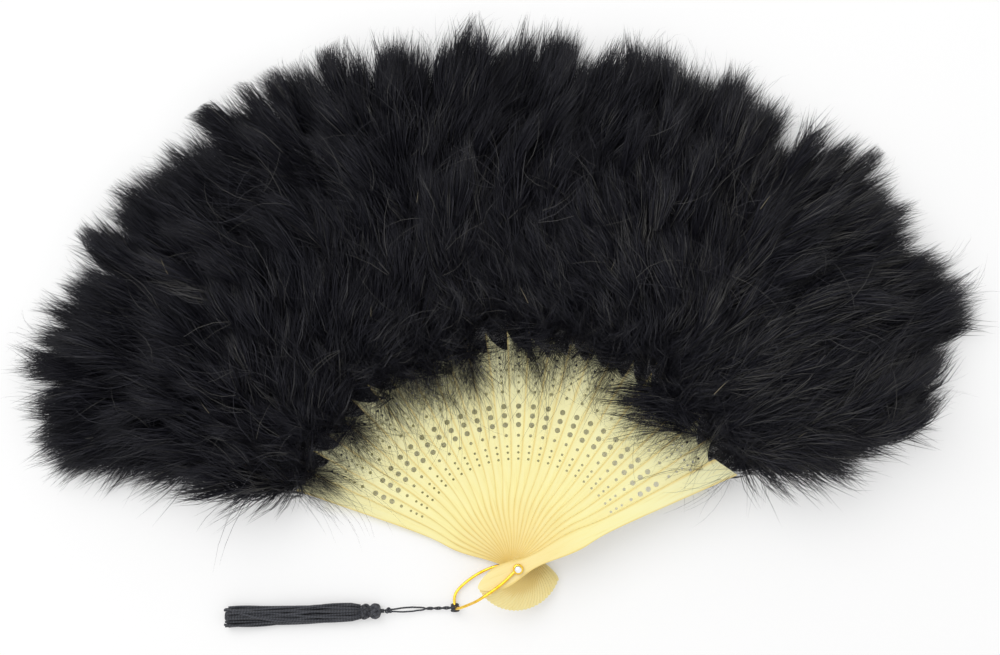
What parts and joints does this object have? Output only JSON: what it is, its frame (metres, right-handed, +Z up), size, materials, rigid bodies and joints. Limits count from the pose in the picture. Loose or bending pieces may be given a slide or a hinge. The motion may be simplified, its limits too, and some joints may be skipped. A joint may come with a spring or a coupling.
{
  "type": "folding feather fan",
  "caption": "Folding fan with pierced ivory sticks on a rivet, a plume of black down on every stick, and a gold wire bail with a tassel.",
  "frame": {"origin": "on the rivet's axis, at the underside of its back head, in the plane that the open fan lies on", "axes": "+Z up out of the front face, +Y from the rivet along the middle of the open fan, +X to the right"},
  "size_m": [0.4943, 0.2959, 0.0399],
  "materials": {
    "stick": "moulded ivory, pearly",
    "guard": "moulded ivory, plain",
    "plume": "fine black down",
    "rivet": "bright, domed",
    "bail": "bright gold wire",
    "tape": "thin woven tape",
    "tassel": "charcoal satin cord"
  },
  "bodies": {
    "back_guard": {"back_guard_stick": "guard", "plume_00": "plume", "rivet_pin": "rivet", "rivet_cap": "rivet", "linking_tape": "tape"},
    "blade_01": {"stick_01": "stick", "plume_01": "plume"},
    "blade_02": {"stick_02": "stick", "plume_02": "plume"},
    "blade_03": {"stick_03": "stick", "plume_03": "plume"},
    "blade_04": {"stick_04": "stick", "plume_04": "plume"},
    "blade_05": {"stick_05": "stick", "plume_05": "plume"},
    "blade_06": {"stick_06": "stick", "plume_06": "plume"},
    "blade_07": {"stick_07": "stick", "plume_07": "plume"},
    "blade_08": {"stick_08": "stick", "plume_08": "plume"},
    "blade_09": {"stick_09": "stick", "plume_09": "plume"},
    "blade_10": {"stick_10": "stick", "plume_10": "plume"},
    "blade_11": {"stick_11": "stick", "plume_11": "plume"},
    "blade_12": {"stick_12": "stick", "plume_12": "plume"},
    "blade_13": {"stick_13": "stick", "plume_13": "plume"},
    "blade_14": {"stick_14": "stick", "plume_14": "plume"},
    "blade_15": {"stick_15": "stick", "plume_15": "plume"},
    "blade_16": {"stick_16": "stick", "plume_16": "plume"},
    "blade_17": {"stick_17": "stick", "plume_17": "plume"},
    "blade_18": {"stick_18": "stick", "plume_18": "plume"},
    "blade_19": {"stick_19": "stick", "plume_19": "plume"},
    "blade_20": {"stick_20": "stick", "plume_20": "plume"},
    "blade_21": {"stick_21": "stick", "plume_21": "plume"},
    "blade_22": {"stick_22": "stick", "plume_22": "plume"},
    "blade_23": {"stick_23": "stick", "plume_23": "plume"},
    "blade_24": {"stick_24": "stick", "plume_24": "plume"},
    "front_guard": {"front_guard_stick": "guard", "plume_25": "plume"},
    "bail": {"bail": "bail"},
    "tassel": {"tassel_cord": "tassel", "tassel_knot": "tassel", "tassel_head": "tassel", "tassel_skirt": "tassel"}
  },
  "joints": [
    {"name": "fan_fold", "type": "hinge", "parent": "back_guard", "child": "front_guard", "pos_m": [0, 0, 0], "axis": [0, 0, 1], "range_deg": [0, 132.6], "deforming": ["plume_00", "plume_01", "plume_02", "plume_03", "plume_04", "plume_05", "plume_06", "plume_07", "plume_08", "plume_09", "plume_10", "plume_11", "plume_12", "plume_13", "plume_14", "plume_15", "plume_16", "plume_17", "plume_18", "plume_19", "plume_20", "plume_21", "plume_22", "plume_23", "plume_24", "plume_25", "linking_tape"]},
    {"name": "blade_01_turn", "type": "hinge", "parent": "back_guard", "child": "blade_01", "pos_m": [0, 0, 0], "axis": [0, 0, 1], "range_deg": [0, 5.31]},
    {"name": "blade_02_turn", "type": "hinge", "parent": "back_guard", "child": "blade_02", "pos_m": [0, 0, 0], "axis": [0, 0, 1], "range_deg": [0, 10.62]},
    {"name": "blade_03_turn", "type": "hinge", "parent": "back_guard", "child": "blade_03", "pos_m": [0, 0, 0], "axis": [0, 0, 1], "range_deg": [0, 15.92]},
    {"name": "blade_04_turn", "type": "hinge", "parent": "back_guard", "child": "blade_04", "pos_m": [0, 0, 0], "axis": [0, 0, 1], "range_deg": [0, 21.23]},
    {"name": "blade_05_turn", "type": "hinge", "parent": "back_guard", "child": "blade_05", "pos_m": [0, 0, 0], "axis": [0, 0, 1], "range_deg": [0, 26.53]},
    {"name": "blade_06_turn", "type": "hinge", "parent": "back_guard", "child": "blade_06", "pos_m": [0, 0, 0], "axis": [0, 0, 1], "range_deg": [0, 31.83]},
    {"name": "blade_07_turn", "type": "hinge", "parent": "back_guard", "child": "blade_07", "pos_m": [0, 0, 0], "axis": [0, 0, 1], "range_deg": [0, 37.14]},
    {"name": "blade_08_turn", "type": "hinge", "parent": "back_guard", "child": "blade_08", "pos_m": [0, 0, 0], "axis": [0, 0, 1], "range_deg": [0, 42.44]},
    {"name": "blade_09_turn", "type": "hinge", "parent": "back_guard", "child": "blade_09", "pos_m": [0, 0, 0], "axis": [0, 0, 1], "range_deg": [0, 47.75]},
    {"name": "blade_10_turn", "type": "hinge", "parent": "back_guard", "child": "blade_10", "pos_m": [0, 0, 0], "axis": [0, 0, 1], "range_deg": [0, 53.05]},
    {"name": "blade_11_turn", "type": "hinge", "parent": "back_guard", "child": "blade_11", "pos_m": [0, 0, 0], "axis": [0, 0, 1], "range_deg": [0, 58.35]},
    {"name": "blade_12_turn", "type": "hinge", "parent": "back_guard", "child": "blade_12", "pos_m": [0, 0, 0], "axis": [0, 0, 1], "range_deg": [0, 63.66]},
    {"name": "blade_13_turn", "type": "hinge", "parent": "back_guard", "child": "blade_13", "pos_m": [0, 0, 0], "axis": [0, 0, 1], "range_deg": [0, 68.96]},
    {"name": "blade_14_turn", "type": "hinge", "parent": "back_guard", "child": "blade_14", "pos_m": [0, 0, 0], "axis": [0, 0, 1], "range_deg": [0, 74.27]},
    {"name": "blade_15_turn", "type": "hinge", "parent": "back_guard", "child": "blade_15", "pos_m": [0, 0, 0], "axis": [0, 0, 1], "range_deg": [0, 79.57]},
    {"name": "blade_16_turn", "type": "hinge", "parent": "back_guard", "child": "blade_16", "pos_m": [0, 0, 0], "axis": [0, 0, 1], "range_deg": [0, 84.87]},
    {"name": "blade_17_turn", "type": "hinge", "parent": "back_guard", "child": "blade_17", "pos_m": [0, 0, 0], "axis": [0, 0, 1], "range_deg": [0, 90.18]},
    {"name": "blade_18_turn", "type": "hinge", "parent": "back_guard", "child": "blade_18", "pos_m": [0, 0, 0], "axis": [0, 0, 1], "range_deg": [0, 95.48]},
    {"name": "blade_19_turn", "type": "hinge", "parent": "back_guard", "child": "blade_19", "pos_m": [0, 0, 0], "axis": [0, 0, 1], "range_deg": [0, 100.79]},
    {"name": "blade_20_turn", "type": "hinge", "parent": "back_guard", "child": "blade_20", "pos_m": [0, 0, 0], "axis": [0, 0, 1], "range_deg": [0, 106.09]},
    {"name": "blade_21_turn", "type": "hinge", "parent": "back_guard", "child": "blade_21", "pos_m": [0, 0, 0], "axis": [0, 0, 1], "range_deg": [0, 111.39]},
    {"name": "blade_22_turn", "type": "hinge", "parent": "back_guard", "child": "blade_22", "pos_m": [0, 0, 0], "axis": [0, 0, 1], "range_deg": [0, 116.7]},
    {"name": "blade_23_turn", "type": "hinge", "parent": "back_guard", "child": "blade_23", "pos_m": [0, 0, 0], "axis": [0, 0, 1], "range_deg": [0, 122]},
    {"name": "blade_24_turn", "type": "hinge", "parent": "back_guard", "child": "blade_24", "pos_m": [0, 0, 0], "axis": [0, 0, 1], "range_deg": [0, 127.31]},
    {"name": "bail_swing", "type": "hinge", "parent": "back_guard", "child": "bail", "pos_m": [0, 0, 0], "axis": [0, 0, 1], "range_deg": [-8, 120]},
    {"name": "tassel_swing", "type": "hinge", "parent": "bail", "child": "tassel", "pos_m": [-0.0331, -0.021, 0.0034], "axis": [0, 0, 1], "range_deg": [-12, 75], "deforming": ["tassel_cord"]}
  ],
  "couplings": [
    {"joint": "blade_01_turn", "follows": "fan_fold", "ratio": 0.04},
    {"joint": "blade_02_turn", "follows": "fan_fold", "ratio": 0.08},
    {"joint": "blade_03_turn", "follows": "fan_fold", "ratio": 0.12},
    {"joint": "blade_04_turn", "follows": "fan_fold", "ratio": 0.16},
    {"joint": "blade_05_turn", "follows": "fan_fold", "ratio": 0.2},
    {"joint": "blade_06_turn", "follows": "fan_fold", "ratio": 0.24},
    {"joint": "blade_07_turn", "follows": "fan_fold", "ratio": 0.28},
    {"joint": "blade_08_turn", "follows": "fan_fold", "ratio": 0.32},
    {"joint": "blade_09_turn", "follows": "fan_fold", "ratio": 0.36},
    {"joint": "blade_10_turn", "follows": "fan_fold", "ratio": 0.4},
    {"joint": "blade_11_turn", "follows": "fan_fold", "ratio": 0.44},
    {"joint": "blade_12_turn", "follows": "fan_fold", "ratio": 0.48},
    {"joint": "blade_13_turn", "follows": "fan_fold", "ratio": 0.52},
    {"joint": "blade_14_turn", "follows": "fan_fold", "ratio": 0.56},
    {"joint": "blade_15_turn", "follows": "fan_fold", "ratio": 0.6},
    {"joint": "blade_16_turn", "follows": "fan_fold", "ratio": 0.64},
    {"joint": "blade_17_turn", "follows": "fan_fold", "ratio": 0.68},
    {"joint": "blade_18_turn", "follows": "fan_fold", "ratio": 0.72},
    {"joint": "blade_19_turn", "follows": "fan_fold", "ratio": 0.76},
    {"joint": "blade_20_turn", "follows": "fan_fold", "ratio": 0.8},
    {"joint": "blade_21_turn", "follows": "fan_fold", "ratio": 0.84},
    {"joint": "blade_22_turn", "follows": "fan_fold", "ratio": 0.88},
    {"joint": "blade_23_turn", "follows": "fan_fold", "ratio": 0.92},
    {"joint": "blade_24_turn", "follows": "fan_fold", "ratio": 0.96}
  ]
}
